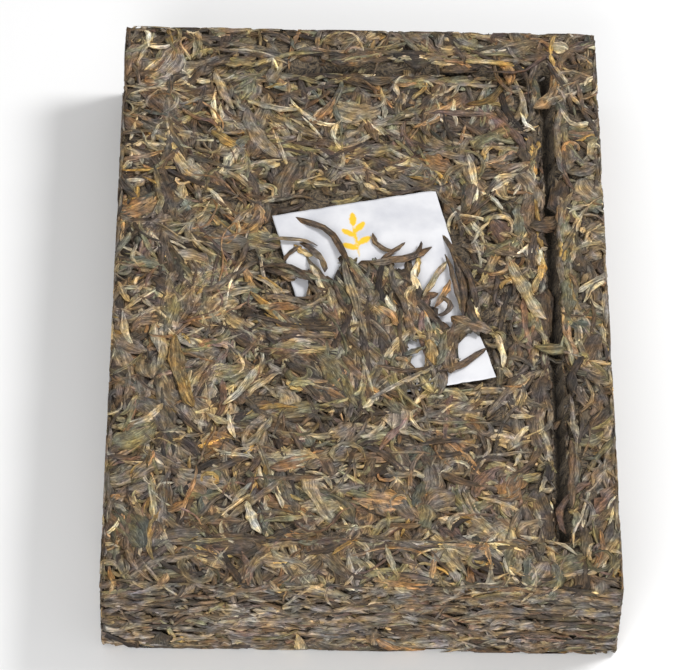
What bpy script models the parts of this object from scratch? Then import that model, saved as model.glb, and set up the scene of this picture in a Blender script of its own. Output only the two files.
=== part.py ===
"""A kilogram brick of pressed pu erh tea leaves with a paper ticket bedded in its sunk top panel.

Blender 4.5, metres, +Z up. X runs across the brick, Y along it, and the origin is at the
middle of the underside. Run it with: blender --background --python part.py
"""

import math
import random

import bmesh
import bpy
from mathutils import Matrix, Vector

# The mould's inside: every pressed leaf ends on these planes
BRICK_WIDTH = 0.168
BRICK_LENGTH = 0.250
BRICK_HEIGHT = 0.035

# The bare core lies this far inside the mould's planes, and the leaves fill the difference
LEAF_PROUD = 0.0008
UPRIGHT_EDGE_RADIUS = 0.0030
UPRIGHT_EDGE_FACETS = 3
FLAT_EDGE_RADIUS = 0.0015
FLAT_EDGE_FACETS = 2

# The sunk panel: its left and near walls slope, its right and far walls are nearly upright
PANEL_LEFT = -0.0655
PANEL_NEAR = -0.1055
PANEL_RIGHT = 0.0680
PANEL_FAR = 0.1090
PANEL_DEPTH = 0.0025
SLOPED_RUN = 0.0045
STEEP_RUN = 0.0010

# The crevice that the press plate cut at the foot of the right and far walls. It grows from a share of
# its full size at each end by a share a step, and its sides and floor are ragged within these shares.
CREVICE_DEPTH = 0.0052
CREVICE_WIDTH = 0.0036
CREVICE_FAR_START = -0.0420
CREVICE_STEPS = 22
CREVICE_FAR_GROWTH = (0.15, 0.3)
CREVICE_NEAR_GROWTH = (0.3, 0.5)
CREVICE_INNER_RAGGED = (0.55, 1.15)
CREVICE_OUTER_RAGGED = (0.80, 1.05)
CREVICE_FLOOR_RAGGED = (0.8, 1.0)
CREVICE_OUTER_FOOT = 0.25
CREVICE_INNER_FOOT = 0.4

# The paper ticket, lying askew and dipping under the leaves that cover its middle
TICKET_WIDTH = 0.0577
TICKET_LENGTH = 0.0864
TICKET_THICKNESS = 0.0005
TICKET_TURN = math.radians(12.8)
TICKET_CENTRE = Vector((0.0072, 0.0015))
TICKET_SINK = 0.0005
TICKET_CELLS = (4, 10)
TICKET_CLEARANCE = 0.0003

# The dip under the mat: its depth, its middle and spread as shares of the half length, and how far
# the paper's right edge is drawn in there
TICKET_DIP = 0.0010
TICKET_DIP_MIDDLE = -0.15
TICKET_DIP_SPREAD = 0.38
TICKET_WAIST = 0.0024

# The paper's waves: their height, and for each its turns across and along and its share
TICKET_WAVE = 0.00015
TICKET_WAVES = ((2.6, 1.1, 1.0), (-1.0, 4.0, 0.8))

# The mat of leaves over the ticket, and how far it reaches every 30 degrees from +X
MAT_CENTRE = Vector((-0.0010, -0.0140))
MAT_REACH_RIGHT = (0.0290, 0.0360, 0.0420, 0.0320, 0.0370, 0.0355)
MAT_REACH_LEFT = (0.0300, 0.0325, 0.0360, 0.0355, 0.0335, 0.0375)
MAT_REACH = MAT_REACH_RIGHT + MAT_REACH_LEFT
MAT_SIDES = 36

# The mat's root below the ticket, its shoulder and its rise over the panel, and its spread at each
MAT_ROOT = 0.0035
MAT_ROOT_SPREAD = 0.0012
MAT_SHOULDER = 0.0004
MAT_RISE = 0.0009
MAT_TOP_SPREAD = -0.0030

# Pressed leaves: the longest and shortest on each kind of surface, and their widths
TOP_LENGTHS = (0.038, 0.011)
TOP_WIDTHS = (0.0060, 0.0021)
SIDE_LENGTHS = (0.034, 0.012)
SIDE_WIDTHS = (0.0025, 0.0013)
SIDE_TILT = math.radians(9.0)
BLADE_WIDTH = 0.0034
LEAF_BEND = math.radians(40.0)
LEAF_HALF_WIDTHS = (0, 0.85, 1.0, 0.80, 0)
LEAF_WIDTH_SPREAD = (0.75, 1.1)
LEAF_LEAN = 0.5
RIDGE_OFFSET = 0.5
BLADE_FLAT = 0.78
LEAF_SINK = 0.0012
TIP_SINK = 0.0002
LEAF_GAP = 0.0005
LEAF_TRIES = 140
RIM_LEAF_COUNT = 66
PANEL_LEAF_COUNT = 84
MAT_LEAF_COUNT = 22
MAT_LENGTHS = (0.034, 0.010)
MAT_OVERHANG = 0.0015
UNDER_LEAF_COUNT = 64
END_LEAVES = 28
FLANK_LEAVES = 38
EDGE_MARGIN = 0.0010
SEED = 11

# The largest leaves that show: middle x and y, heading in degrees, length and width
RIM_LEAVES = (
    (-0.0800, -0.0170, -80, 0.017, 0.0032),
    (-0.0530, -0.1150, -50, 0.021, 0.0042),
    (-0.0246, -0.1128, -28, 0.013, 0.0034),
    (0.0123, -0.1212, -13, 0.024, 0.0034),
    (0.0766, -0.1130, -55, 0.014, 0.0030),
    (0.0378, 0.1185, -27, 0.014, 0.0030),
)
PANEL_LEAVES = (
    (-0.0585, -0.0340, -79, 0.032, 0.0050),
    (-0.0395, -0.0395, 57, 0.022, 0.0038),
    (-0.0485, 0.0950, -71, 0.019, 0.0036),
    (-0.0310, 0.0885, -17, 0.020, 0.0030),
    (-0.0355, 0.0720, -66, 0.026, 0.0048),
    (0.0455, 0.0935, 28, 0.019, 0.0036),
    (0.0545, 0.0060, -71, 0.033, 0.0044),
    (-0.0465, -0.0540, -28, 0.013, 0.0032),
    (-0.0340, -0.0640, 48, 0.015, 0.0028),
    (-0.0350, -0.0930, -72, 0.015, 0.0038),
)
UNDER_LEAVES = ((0.0, 0.0, 62, 0.038, 0.0066),)
MAT_LEAVES = (
    (-0.0095, 0.0245, -35, 0.032, 0.0046),
    (-0.0230, 0.0160, -4, 0.024, 0.0036),
    (-0.0030, -0.0010, -80, 0.030, 0.0042),
    (0.0215, -0.0290, 20, 0.038, 0.0032),
    (0.0235, -0.0150, -72, 0.019, 0.0050),
)

PANEL_PLANE = BRICK_HEIGHT - PANEL_DEPTH
SHARP_ANGLE = math.radians(25.0)
LEAF_COLOUR = (0.178, 0.132, 0.083, 1.0)
LEAF_ROUGHNESS = 0.8
PAPER_COLOUR = (0.83, 0.83, 0.86, 1.0)
PAPER_ROUGHNESS = 0.7


def clear_scene():
    for obj in list(bpy.data.objects):
        bpy.data.objects.remove(obj, do_unlink=True)


def material(name, colour, roughness):
    made = bpy.data.materials.new(name)
    made.use_nodes = True
    shader = made.node_tree.nodes["Principled BSDF"]
    shader.inputs["Base Color"].default_value = colour
    shader.inputs["Roughness"].default_value = roughness
    shader.inputs["Metallic"].default_value = 0.0
    return made


def object_of(name, mesh, collection=None):
    obj = bpy.data.objects.new(name, mesh)
    (collection or bpy.context.scene.collection).objects.link(obj)
    return obj


def mesh_of(name, points, faces):
    """A mesh from points and faces, with every face turned outwards."""
    mesh = bpy.data.meshes.new(name)
    mesh.from_pydata([tuple(p) for p in points], [], faces)
    shaped = bmesh.new()
    shaped.from_mesh(mesh)
    bmesh.ops.recalc_face_normals(shaped, faces=shaped.faces)
    shaped.to_mesh(mesh)
    shaped.free()
    return mesh


def loft(name, rings):
    """A closed solid through rings of points. An end ring of one point is a tip."""
    count = max(len(ring) for ring in rings)
    points = []
    starts = []
    for ring in rings:
        starts.append(len(points))
        points += ring
    faces = []
    for i in range(len(rings) - 1):
        a, b = starts[i], starts[i + 1]
        for j in range(count):
            k = (j + 1) % count
            if len(rings[i]) == 1:
                faces.append((a, b + k, b + j))
            elif len(rings[i + 1]) == 1:
                faces.append((a + j, a + k, b))
            else:
                faces.append((a + j, a + k, b + k, b + j))
    for ring, begin in ((rings[0], starts[0]), (rings[-1], starts[-1])):
        if len(ring) > 1:
            faces.append(tuple(range(begin, begin + count)))
    return mesh_of(name, points, faces)


def apply_boolean(obj, operation, other):
    """Joins or cuts obj with an object, or joins it with all of a collection, and applies it."""
    boolean = obj.modifiers.new(operation.lower(), "BOOLEAN")
    boolean.operation = operation
    boolean.solver = "EXACT"
    if isinstance(other, bpy.types.Collection):
        boolean.operand_type = "COLLECTION"
        boolean.collection = other
    else:
        boolean.object = other
    graph = bpy.context.evaluated_depsgraph_get()
    result = bpy.data.meshes.new_from_object(obj.evaluated_get(graph))
    obj.modifiers.clear()
    old = obj.data
    obj.data = result
    bpy.data.meshes.remove(old)
    used = list(other.objects) if isinstance(other, bpy.types.Collection) else [other]
    for helper in used:
        bpy.data.objects.remove(helper, do_unlink=True)


def rectangle(left, near, right, far, z):
    return [(left, near, z), (right, near, z), (right, far, z), (left, far, z)]


def is_upright(edge):
    return abs(edge.verts[0].co.z - edge.verts[1].co.z) > LEAF_PROUD


def rounded(shaped, edges, radius, facets):
    bmesh.ops.bevel(shaped, geom=edges, offset=radius, segments=facets, profile=0.5, affect="EDGES")


def slab():
    """The bare core: a block with rounded edges, inside the mould's planes by the leaves' thickness."""
    shaped = bmesh.new()
    size = Vector((BRICK_WIDTH, BRICK_LENGTH, BRICK_HEIGHT)) - Vector((2, 2, 2)) * LEAF_PROUD
    middle = Matrix.Translation((0, 0, BRICK_HEIGHT / 2))
    bmesh.ops.create_cube(shaped, size=1.0, matrix=middle @ Matrix.Diagonal((*size, 1.0)))
    upright = [edge for edge in shaped.edges if is_upright(edge)]
    rounded(shaped, upright, UPRIGHT_EDGE_RADIUS, UPRIGHT_EDGE_FACETS)
    flat = [edge for edge in shaped.edges if not is_upright(edge)]
    rounded(shaped, flat, FLAT_EDGE_RADIUS, FLAT_EDGE_FACETS)
    mesh = bpy.data.meshes.new("tea_brick")
    shaped.to_mesh(mesh)
    shaped.free()
    return object_of("tea_brick", mesh)


def panel_cutter():
    """The sunk panel's space above the bare core's floor, wider at the top by the walls' runs."""
    floor = PANEL_PLANE - LEAF_PROUD
    rise = BRICK_HEIGHT - floor
    rings = []
    for z, inward in ((floor, 1.0), (BRICK_HEIGHT + rise, -1.0)):
        sloped = SLOPED_RUN * inward
        steep = STEEP_RUN * inward
        rings.append(
            rectangle(
                PANEL_LEFT + sloped,
                PANEL_NEAR + sloped,
                PANEL_RIGHT - steep,
                PANEL_FAR - steep,
                z,
            )
        )
    return object_of("panel_cutter", loft("panel_cutter", rings))


def crevice_route():
    """The crevice's middle line along the far wall and down the right wall, with its outward side."""
    inset = STEEP_RUN + CREVICE_WIDTH / 2
    corner = Vector((PANEL_RIGHT - inset, PANEL_FAR - inset))
    start = Vector((CREVICE_FAR_START, corner.y))
    end = Vector((corner.x, PANEL_NEAR + SLOPED_RUN))
    far_run = corner.x - start.x
    near_run = corner.y - end.y
    far_steps = round(CREVICE_STEPS * far_run / (far_run + near_run))
    route = [(start.lerp(corner, i / far_steps), Vector((0, 1))) for i in range(far_steps)]
    route.append((corner, Vector((1, 1))))
    rest = CREVICE_STEPS - far_steps
    route += [(corner.lerp(end, (i + 1) / rest), Vector((1, 0))) for i in range(rest)]
    return route


def crevice_cutter(draw):
    """A ragged channel that fades in along the far wall and ends at the near wall."""
    rings = []
    route = crevice_route()
    for i, (middle, outward) in enumerate(route):
        from_far = CREVICE_FAR_GROWTH[0] + CREVICE_FAR_GROWTH[1] * i
        from_near = CREVICE_NEAR_GROWTH[0] + CREVICE_NEAR_GROWTH[1] * (len(route) - 1 - i)
        fade = min(1.0, from_far, from_near)
        inner = CREVICE_WIDTH / 2 * fade * draw.uniform(*CREVICE_INNER_RAGGED)
        outer = CREVICE_WIDTH / 2 * draw.uniform(*CREVICE_OUTER_RAGGED)
        depth = (CREVICE_DEPTH - PANEL_DEPTH) * fade * draw.uniform(*CREVICE_FLOOR_RAGGED)
        inner_foot = middle - outward * inner * CREVICE_INNER_FOOT
        outer_foot = middle + outward * (outer - CREVICE_WIDTH * CREVICE_OUTER_FOOT)
        top = PANEL_PLANE + LEAF_PROUD
        floor = PANEL_PLANE - depth
        ring = [(*(middle - outward * inner), top), (*(middle + outward * outer), top)]
        ring += [(*outer_foot, floor), (*inner_foot, floor)]
        rings.append(ring)
    return object_of("crevice_cutter", loft("crevice_cutter", rings))


def ticket_axes():
    return (
        Vector((math.cos(TICKET_TURN), math.sin(TICKET_TURN))),
        Vector((-math.sin(TICKET_TURN), math.cos(TICKET_TURN))),
    )


def ticket_dip(along):
    """How far the leaves press the ticket down, from 0 at its ends to 1 under the mat's middle."""
    return math.exp(-(((along - TICKET_DIP_MIDDLE) / TICKET_DIP_SPREAD) ** 2))


def ticket_height(across, along):
    """The ticket's middle surface, with across and along from -1 to 1 over the paper."""
    wave = sum(share * math.sin(a * across + b * along) for a, b, share in TICKET_WAVES)
    flat = PANEL_PLANE - TICKET_SINK - TICKET_THICKNESS / 2
    return flat - TICKET_DIP * ticket_dip(along) + TICKET_WAVE * wave


def ticket_solid(name, grown):
    """The ticket as a wavy plate, or the pocket that it lies in when grown is its clearance."""
    across_axis, along_axis = ticket_axes()
    cells_across, cells_along = TICKET_CELLS
    points = []
    for side in (1, -1):
        for j in range(cells_along + 1):
            for i in range(cells_across + 1):
                across = 2 * i / cells_across - 1
                along = 2 * j / cells_along - 1
                drawn_in = TICKET_WAIST * ticket_dip(along) * (1 + across) / 2
                place = (
                    TICKET_CENTRE
                    + across_axis * (across * (TICKET_WIDTH / 2 + grown) - drawn_in)
                    + along_axis * along * (TICKET_LENGTH / 2 + grown)
                )
                z = ticket_height(across, along) + side * (TICKET_THICKNESS / 2 + grown)
                points.append((place.x, place.y, z))
    row = cells_across + 1
    layer = row * (cells_along + 1)
    faces = []
    for j in range(cells_along):
        for i in range(cells_across):
            a = j * row + i
            b, c, d = a + 1, a + row + 1, a + row
            faces += [(a, b, c), (a, c, d)]
            faces += [(layer + a, layer + c, layer + b), (layer + a, layer + d, layer + c)]
    around = list(range(row))
    around += [j * row + row - 1 for j in range(1, cells_along + 1)]
    around += [cells_along * row + i for i in range(row - 2, -1, -1)]
    around += [j * row for j in range(cells_along - 1, 0, -1)]
    for a, b in zip(around, around[1:] + around[:1]):
        faces.append((a, a + layer, b + layer, b))
    return object_of(name, mesh_of(name, points, faces))


def on_ticket(x, y, margin):
    """True if a point of the top view lies over the ticket, grown by a margin."""
    across_axis, along_axis = ticket_axes()
    off = Vector((x, y)) - TICKET_CENTRE
    return (
        abs(off.dot(across_axis)) < TICKET_WIDTH / 2 + margin
        and abs(off.dot(along_axis)) < TICKET_LENGTH / 2 + margin
    )


def mat_radius(angle):
    """The mat's reach at an angle, read smoothly between the reaches listed."""
    place = (angle / (2 * math.pi)) % 1.0 * len(MAT_REACH)
    before = int(place) % len(MAT_REACH)
    share = (1 - math.cos(math.pi * (place - int(place)))) / 2
    return MAT_REACH[before] * (1 - share) + MAT_REACH[(before + 1) % len(MAT_REACH)] * share


def on_mat(x, y, margin):
    off = Vector((x, y)) - MAT_CENTRE
    return off.length < mat_radius(math.atan2(off.y, off.x)) + margin


def mat_solid(collection):
    """The low mound of pressed leaves over the ticket, rooted in the panel round it."""
    levels = (
        (PANEL_PLANE - TICKET_SINK - MAT_ROOT, MAT_ROOT_SPREAD),
        (PANEL_PLANE + MAT_SHOULDER, 0.0),
        (PANEL_PLANE + MAT_RISE, MAT_TOP_SPREAD),
    )
    rings = []
    for z, spread in levels:
        ring = []
        for k in range(MAT_SIDES):
            angle = 2 * math.pi * k / MAT_SIDES
            radius = mat_radius(angle) + spread
            place = MAT_CENTRE + Vector((math.cos(angle), math.sin(angle))) * radius
            ring.append((place.x, place.y, z))
        rings.append(ring)
    return object_of("leaf_mat", loft("leaf_mat", rings), collection)


class Surface:
    """One pressed surface: its frame, the ground leaves may lie on, and their sizes and headings."""

    def __init__(self, frame, half, inside, lengths, widths, tilt, count, lean=LEAF_LEAN, large=()):
        self.frame = frame
        self.half = half
        self.inside = inside
        self.lengths = lengths
        self.widths = widths
        self.tilt = tilt
        self.count = count
        self.lean = lean
        self.large = large


def leaf_line(s, t, heading, length, bend):
    """The leaf's middle line in the surface's plane: an arc that turns by bend over its length."""
    steps = len(LEAF_HALF_WIDTHS) - 1
    line = [Vector((0, 0))]
    for i in range(steps):
        angle = heading + bend * (i + 0.5 - steps / 2) / steps
        line.append(line[-1] + Vector((math.cos(angle), math.sin(angle))) * length / steps)
    shift = Vector((s, t)) - sum(line, Vector((0, 0))) / len(line)
    return [point + shift for point in line]


def leaf_section(width, lean):
    """A blade's section has a flat top that leans a little, and a narrow twisted leaf's a ridge."""
    foot = -LEAF_SINK
    if width < BLADE_WIDTH:
        return ((-1.0, foot), (RIDGE_OFFSET * lean, LEAF_PROUD), (1.0, foot))
    left = LEAF_PROUD * (1.0 - max(lean, 0.0))
    right = LEAF_PROUD * (1.0 + min(lean, 0.0))
    return ((-1.0, foot), (-BLADE_FLAT, left), (BLADE_FLAT, right), (1.0, foot))


def leaf_solid(name, surface, line, width, lean, collection):
    """A pressed leaf: a low strip, sunk into the core, with both its tips just under the surface."""
    rings = []
    for i, point in enumerate(line):
        if LEAF_HALF_WIDTHS[i] == 0:
            rings.append([surface.frame @ Vector((point.x, point.y, -TIP_SINK))])
            continue
        ahead = line[i + 1] - line[i - 1]
        side = Vector((-ahead.y, ahead.x)).normalized()
        half = width / 2 * LEAF_HALF_WIDTHS[i]
        ring = []
        for reach, height in leaf_section(width, lean):
            at = point + side * half * reach
            ring.append(surface.frame @ Vector((at.x, at.y, height)))
        rings.append(ring)
    return object_of(name, loft(name, rings), collection)


def middles(line):
    """The line's points and the points halfway between them."""
    between = [line[i].lerp(line[i + 1], 0.5) for i in range(len(line) - 1)]
    return line + between


def crowded(line, width, taken):
    return any((p - q).length < (width + other) / 2 + LEAF_GAP for p in line for q, other in taken)


def press_leaves(name, surface, draw, collection):
    """Lays the large leaves, then others from the longest down, each clear of those before it."""
    taken = []
    made = 0
    for x, y, heading, length, width in surface.large:
        bend = draw.uniform(-LEAF_BEND, LEAF_BEND) / 2
        line = leaf_line(x, y, math.radians(heading), length, bend)
        lean = draw.uniform(-surface.lean, surface.lean)
        leaf_solid(f"{name}_{made}", surface, line, width, lean, collection)
        taken += [(point, width) for point in middles(line)]
        made += 1
    longest, shortest = surface.lengths
    widest, narrowest = surface.widths
    for place in range(surface.count):
        share = place / surface.count
        length = longest + (shortest - longest) * share
        width = (widest + (narrowest - widest) * share) * draw.uniform(*LEAF_WIDTH_SPREAD)
        for _ in range(LEAF_TRIES):
            heading = draw.uniform(-surface.tilt, surface.tilt)
            bend = draw.uniform(-LEAF_BEND, LEAF_BEND) * min(1.0, surface.tilt)
            s = draw.uniform(-surface.half[0], surface.half[0])
            t = draw.uniform(-surface.half[1], surface.half[1])
            line = leaf_line(s, t, heading, length, bend)
            fits = all(surface.inside(point.x, point.y, width / 2 + EDGE_MARGIN) for point in line)
            if fits and not crowded(middles(line), width, taken):
                lean = draw.uniform(-surface.lean, surface.lean)
                leaf_solid(f"{name}_{made}", surface, line, width, lean, collection)
                taken += [(point, width) for point in middles(line)]
                made += 1
                break


def within(x, y, half_x, half_y, margin):
    return abs(x) < half_x - margin and abs(y) < half_y - margin


def on_rim(x, y, margin):
    """The rim's top, clear of the brick's edges and of the panel's."""
    outer = within(x, y, BRICK_WIDTH / 2, BRICK_LENGTH / 2, margin)
    across = PANEL_LEFT - margin < x < PANEL_RIGHT + margin
    along = PANEL_NEAR - margin < y < PANEL_FAR + margin
    return outer and not (across and along)


def on_panel(x, y, margin):
    """The panel's floor, clear of its walls, the crevice, the ticket and the mat."""
    slope = SLOPED_RUN + margin
    crevice = STEEP_RUN + CREVICE_WIDTH + margin
    across = PANEL_LEFT + slope < x < PANEL_RIGHT - crevice
    along = PANEL_NEAR + slope < y < PANEL_FAR - crevice
    return across and along and not on_ticket(x, y, margin) and not on_mat(x, y, margin)


def facing(place, across, up):
    """A frame whose Z points out of a surface, with its X and Y along the surface."""
    x_axis, y_axis = Vector(across), Vector(up)
    turn = Matrix((x_axis, y_axis, x_axis.cross(y_axis))).transposed().to_4x4()
    return Matrix.Translation(place) @ turn


def level(z):
    """A frame for a surface that faces up at height z."""
    return Matrix.Translation((0, 0, z))


def face_rule(half_s, half_t):
    return lambda s, t, margin: within(s, t, half_s, half_t, margin)


def surfaces():
    """Every pressed surface of the brick, on the bare core's planes."""
    half_x, half_y, half_z = BRICK_WIDTH / 2, BRICK_LENGTH / 2, BRICK_HEIGHT / 2
    core_x, core_y = half_x - LEAF_PROUD, half_y - LEAF_PROUD
    any_way = math.pi / 2
    whole = {"half": (half_x, half_y), "lengths": TOP_LENGTHS, "widths": TOP_WIDTHS, "tilt": any_way}
    rim = {**whole, "inside": on_rim, "count": RIM_LEAF_COUNT, "large": RIM_LEAVES}
    panel = {**whole, "inside": on_panel, "count": PANEL_LEAF_COUNT, "large": PANEL_LEAVES}
    underside = face_rule(half_x, half_y)
    under = {**whole, "inside": underside, "count": UNDER_LEAF_COUNT, "large": UNDER_LEAVES}
    edge_on = {"lengths": SIDE_LENGTHS, "widths": SIDE_WIDTHS, "tilt": SIDE_TILT}
    end_face, flank_face = face_rule(half_x, half_z), face_rule(half_y, half_z)
    end = {**edge_on, "half": (half_x, half_z), "inside": end_face, "count": END_LEAVES}
    flank = {**edge_on, "half": (half_y, half_z), "inside": flank_face, "count": FLANK_LEAVES}
    return {
        "rim_leaf": Surface(level(BRICK_HEIGHT - LEAF_PROUD), **rim),
        "panel_leaf": Surface(level(PANEL_PLANE - LEAF_PROUD), **panel),
        "under_leaf": Surface(facing((0, 0, LEAF_PROUD), (1, 0, 0), (0, -1, 0)), lean=0.0, **under),
        "near_leaf": Surface(facing((0, -core_y, half_z), (1, 0, 0), (0, 0, 1)), **end),
        "far_leaf": Surface(facing((0, core_y, half_z), (-1, 0, 0), (0, 0, 1)), **end),
        "right_leaf": Surface(facing((core_x, 0, half_z), (0, 1, 0), (0, 0, 1)), **flank),
        "left_leaf": Surface(facing((-core_x, 0, half_z), (0, -1, 0), (0, 0, 1)), **flank),
    }


def mat_surface():
    """The mat's top: its outer leaves reach past it and hang over the bare ends of the ticket."""
    reach = max(MAT_REACH)
    return Surface(
        level(PANEL_PLANE + MAT_RISE),
        half=(reach, reach + abs(MAT_CENTRE.y)),
        inside=lambda x, y, margin: on_mat(x, y, MAT_OVERHANG),
        lengths=MAT_LENGTHS,
        widths=TOP_WIDTHS,
        tilt=math.pi / 2,
        count=MAT_LEAF_COUNT,
        large=MAT_LEAVES,
    )


def keep_largest_body(obj):
    """Drops any scrap that the cuts left loose."""
    shaped = bmesh.new()
    shaped.from_mesh(obj.data)
    unseen = set(shaped.verts)
    bodies = []
    while unseen:
        stack = [unseen.pop()]
        body = [stack[0]]
        while stack:
            for edge in stack.pop().link_edges:
                for vert in edge.verts:
                    if vert in unseen:
                        unseen.remove(vert)
                        stack.append(vert)
                        body.append(vert)
        bodies.append(body)
    bodies.sort(key=len)
    loose = [vert for body in bodies[:-1] for vert in body]
    bmesh.ops.delete(shaped, geom=loose, context="VERTS")
    shaped.to_mesh(obj.data)
    shaped.free()


def shade(obj, made):
    obj.data.materials.clear()
    obj.data.materials.append(made)
    obj.data.shade_smooth()
    obj.data.set_sharp_from_angle(angle=SHARP_ANGLE)


def build():
    clear_scene()
    draw = random.Random(SEED)
    brick = slab()
    apply_boolean(brick, "DIFFERENCE", panel_cutter())
    apply_boolean(brick, "DIFFERENCE", crevice_cutter(draw))
    leaves = bpy.data.collections.new("leaves")
    bpy.context.scene.collection.children.link(leaves)
    for name, surface in surfaces().items():
        press_leaves(name, surface, draw, leaves)
    mat_solid(leaves)
    press_leaves("mat_leaf", mat_surface(), draw, leaves)
    apply_boolean(brick, "UNION", leaves)
    bpy.data.collections.remove(leaves)
    apply_boolean(brick, "DIFFERENCE", ticket_solid("pocket_cutter", TICKET_CLEARANCE))
    keep_largest_body(brick)
    shade(brick, material("pressed_leaf", LEAF_COLOUR, LEAF_ROUGHNESS))
    ticket = ticket_solid("paper_ticket", 0.0)
    shade(ticket, material("ticket_paper", PAPER_COLOUR, PAPER_ROUGHNESS))


build()
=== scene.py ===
"""The looks of a pressed pu erh tea brick: leaves over a dark core, and the paper ticket in its panel.

Every leaf is a closed strip of mesh at its real size. All the leaves of a kind on one part of the
brick are made together as arrays and joined in one piece. A leaf is first shaped in the plane that
it is pressed against, by its place s, t along that plane and its height over it, then carried to
the brick and held inside the mould's rounded box.
"""

import math
from dataclasses import dataclass

import bpy
import numpy as np
from mathutils import Matrix, Vector


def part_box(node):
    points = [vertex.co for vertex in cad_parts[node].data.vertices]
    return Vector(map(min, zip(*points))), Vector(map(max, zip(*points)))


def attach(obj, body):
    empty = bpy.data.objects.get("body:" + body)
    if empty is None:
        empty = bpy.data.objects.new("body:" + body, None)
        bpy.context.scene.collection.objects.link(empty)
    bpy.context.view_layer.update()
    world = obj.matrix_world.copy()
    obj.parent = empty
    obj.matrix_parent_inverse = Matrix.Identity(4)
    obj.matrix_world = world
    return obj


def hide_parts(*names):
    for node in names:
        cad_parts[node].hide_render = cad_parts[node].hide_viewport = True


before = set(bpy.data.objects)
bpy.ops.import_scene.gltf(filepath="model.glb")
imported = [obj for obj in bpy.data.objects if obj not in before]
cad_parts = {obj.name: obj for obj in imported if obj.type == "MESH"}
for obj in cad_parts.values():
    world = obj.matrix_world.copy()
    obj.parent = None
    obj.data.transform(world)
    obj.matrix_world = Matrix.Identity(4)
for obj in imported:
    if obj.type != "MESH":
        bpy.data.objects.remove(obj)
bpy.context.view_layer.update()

MM = 0.001

# The camera that took the photo: where it stands, how far it looks down, right of +Y and is rolled,
# and its lens and sensor in millimetres
CAMERA_PLACE = np.array((-29.8, -946.9, 1120.3)) * MM
CAMERA_TILT = math.radians(49.461)
CAMERA_HEADING = math.radians(1.605)
CAMERA_ROLL = math.radians(2.115)
CAMERA_LENS = 219.2
SENSOR_WIDTH = 36.0
PHOTO_SIZE = np.array((700, 670))

LOW, HIGH = (np.array(corner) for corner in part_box("tea_brick"))
HALF = (HIGH - LOW) / 2
CENTRE = (HIGH + LOW) / 2
TOP = HIGH[2]

# The mould: how rounded its edges are, by what share that changes, how far the leaves fall short of it
# in places, how thick the layer is that it pressed smooth, and how far past a corner a leaf may reach
EDGE_RADIUS = 0.9 * MM
EDGE_UNEVENNESS = 0.25
EDGE_SHORTFALL = 0.18 * MM
MOULD_SOFTNESS = 0.25 * MM
CORNER_REACH = 0.3 * MM

# The sunk panel, whose left and near walls slope and whose right and far walls are steep
PANEL_DEPTH = 2.5 * MM
PANEL_LEFT = (-68.0 * MM, -61.0 * MM)
PANEL_NEAR = (-106.5 * MM, -102.5 * MM)
PANEL_FAR = (109.5 * MM, 104.0 * MM)

# The crevice at the foot of the steep walls: its middle lines, its ends, how ragged it is, how much
# less of it there is at the far side, and how its shoulders sink
CREVICE_X = 65.4 * MM
CREVICE_Y = 106.9 * MM
CREVICE_HALF_WIDTH = 1.8 * MM
CREVICE_NEAR_END = -104.0 * MM
CREVICE_FADE = (-50.0 * MM, -32.0 * MM)
CREVICE_WANDER = 0.5 * MM
CREVICE_RAGGEDNESS = 0.8 * MM
CREVICE_FINE_RAGGEDNESS = 0.5 * MM
CREVICE_SOFTNESS = 0.35 * MM
CREVICE_DEPTH = 2.3 * MM
# How much painted shade darkens the core in the crevice
CREVICE_PAINTED_SHADE = 0.65
FAR_NARROWING = 0.5
FAR_SHALLOWING = 0.75
SHOULDER_DEPTH = 1.4 * MM
SHOULDER_SOFTNESS = 0.9 * MM
OUT_OF_REACH = 1.0

# The bare core under the leaves, with its bumps' heights and how far it sinks under the ticket
CORE_INSET = 1.8 * MM
CORE_CELL = 2.4 * MM
CORE_BUMP = 0.30 * MM
CORE_FINE_BUMP = 0.22 * MM
CORE_SINK = 1.0 * MM

# The ticket, as it lies in its pocket. Where the mat presses on it, it dips and is drawn in.
TICKET_SIZE = (57.7 * MM, 86.4 * MM)
TICKET_TURN = math.radians(12.8)
TICKET_CENTRE = np.array((7.2, 1.5)) * MM
TICKET_SINK = 0.5 * MM
TICKET_DIP = 1.0 * MM
TICKET_DIP_MIDDLE = -0.15
TICKET_DIP_REACH = 0.38
TICKET_WAIST = 2.4 * MM
TICKET_THICKNESS = 0.12 * MM
TICKET_EDGE_NOISE = 0.12 * MM
TICKET_WAVE = 0.15 * MM
TICKET_CRINKLE = 0.13 * MM
TICKET_FINE_CRINKLE = 0.05 * MM
TICKET_CELLS = (80, 112)
PAPER_HEIGHT = TOP - PANEL_DEPTH - TICKET_SINK

# The mat of leaves over the ticket: its outline, how high its middle is, and where it flattens
MAT_OUTLINE = np.array((
    (-28, 24), (-17, 20), (-5, 16), (4, 19), (13, 20), (20, 22), (26, 23), (22, 6), (27, -3), (26, -9),
    (37, -14), (30, -27), (30, -37), (13, -46), (-7, -50), (-20, -46), (-32, -20), (-35, 3), (-34, 22),
)) * MM
MAT_RISE = 1.0 * MM
MAT_SLOPE = (12 * MM, 40 * MM)
MAT_SLOPE_SHARE = 0.45
MAT_END = (0.37, 0.55)

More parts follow.
